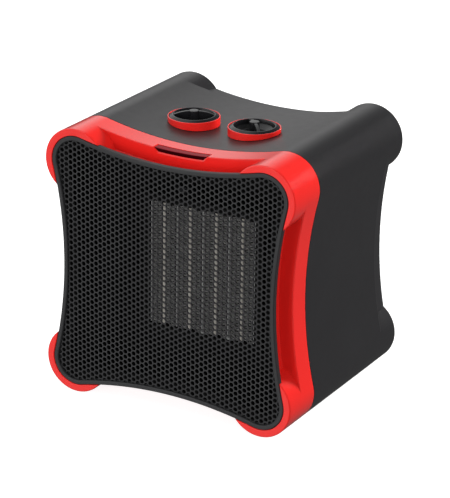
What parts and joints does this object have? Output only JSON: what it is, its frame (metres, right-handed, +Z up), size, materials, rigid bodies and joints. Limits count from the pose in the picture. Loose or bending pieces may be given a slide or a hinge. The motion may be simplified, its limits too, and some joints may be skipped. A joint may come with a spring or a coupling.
{
  "type": "ceramic fan heater",
  "caption": "Cube-shaped ceramic fan heater with round corner lobes, a honeycomb outlet, a rear air intake and two rotary knobs on top.",
  "frame": {"origin": "on the floor below the middle of the object's bounding box", "axes": "+Z up, -Y the way the warm air leaves, +X to the right seen from the front, so the left knob is at -X"},
  "size_m": [0.21, 0.175, 0.2117],
  "materials": {
    "red_plastic": "gloss",
    "satin_black": "satin",
    "black_mesh": "satin",
    "black_casing": "fine spark-eroded grain",
    "smoked_lens": "gloss, smoked red",
    "lamp_glass": "clear",
    "phenolic": "matt",
    "black_rubber": "matt",
    "zinc": "zinc plated",
    "gloss_black": "gloss",
    "ceramic": "matt ceramic",
    "aluminium": "mill",
    "steel": "satin",
    "copper": "enamelled wire",
    "fan_plastic": "satin",
    "insulation": "satin"
  },
  "bodies": {
    "housing": {"front_bezel": "red_plastic", "knob_collar_left": "red_plastic", "knob_collar_right": "red_plastic", "grille_frame": "satin_black", "front_mesh": "black_mesh", "front_baffle": "black_casing", "main_casing": "black_casing", "rear_cover": "black_casing", "indicator_lens": "smoked_lens", "indicator_lamp": "lamp_glass", "lamp_holder": "phenolic", "selector_switch": "phenolic", "thermostat": "phenolic", "element_frame": "phenolic", "bulkhead": "phenolic", "fan_shroud": "phenolic", "cord_gland": "black_rubber", "foot_front_left": "black_rubber", "foot_front_right": "black_rubber", "foot_rear_left": "black_rubber", "foot_rear_right": "black_rubber", "rear_screw_1": "zinc", "rear_screw_2": "zinc", "rear_screw_3": "zinc", "rear_screw_4": "zinc", "selector_nut": "zinc", "thermostat_nut": "zinc", "bearing_plate_front": "zinc", "bearing_plate_rear": "zinc", "thermal_fuse": "zinc", "ptc_bar_1": "ceramic", "ptc_bar_2": "ceramic", "ptc_bar_3": "ceramic", "ptc_bar_4": "ceramic", "fin_1": "aluminium", "fin_2": "aluminium", "fin_3": "aluminium", "fin_4": "aluminium", "fin_5": "aluminium", "fin_6": "aluminium", "fin_7": "aluminium", "fin_8": "aluminium", "electrode_plate_1": "aluminium", "electrode_plate_2": "aluminium", "electrode_plate_3": "aluminium", "electrode_plate_4": "aluminium", "electrode_plate_5": "aluminium", "thermal_cutout": "steel", "motor_bracket": "steel", "motor_stator": "steel", "motor_coil": "copper", "supply_lead": "insulation"},
    "left_knob": {"knob_left": "gloss_black", "selector_shaft": "zinc"},
    "right_knob": {"knob_right": "gloss_black", "thermostat_shaft": "zinc"},
    "fan": {"fan_impeller": "fan_plastic", "motor_shaft": "steel", "motor_rotor": "steel"}
  },
  "joints": [
    {"name": "selector_turn", "type": "hinge", "parent": "housing", "child": "left_knob", "pos_m": [-0.0259, -0.0045, 0.2077], "axis": [0, 0, -1], "range_deg": [0, 270]},
    {"name": "thermostat_turn", "type": "hinge", "parent": "housing", "child": "right_knob", "pos_m": [0.0259, -0.0045, 0.2077], "axis": [0, 0, -1], "range_deg": [0, 270]},
    {"name": "fan_spin", "type": "hinge", "parent": "housing", "child": "fan", "pos_m": [0, 0.019, 0.0964], "axis": [0, 1, 0], "continuous": true}
  ]
}
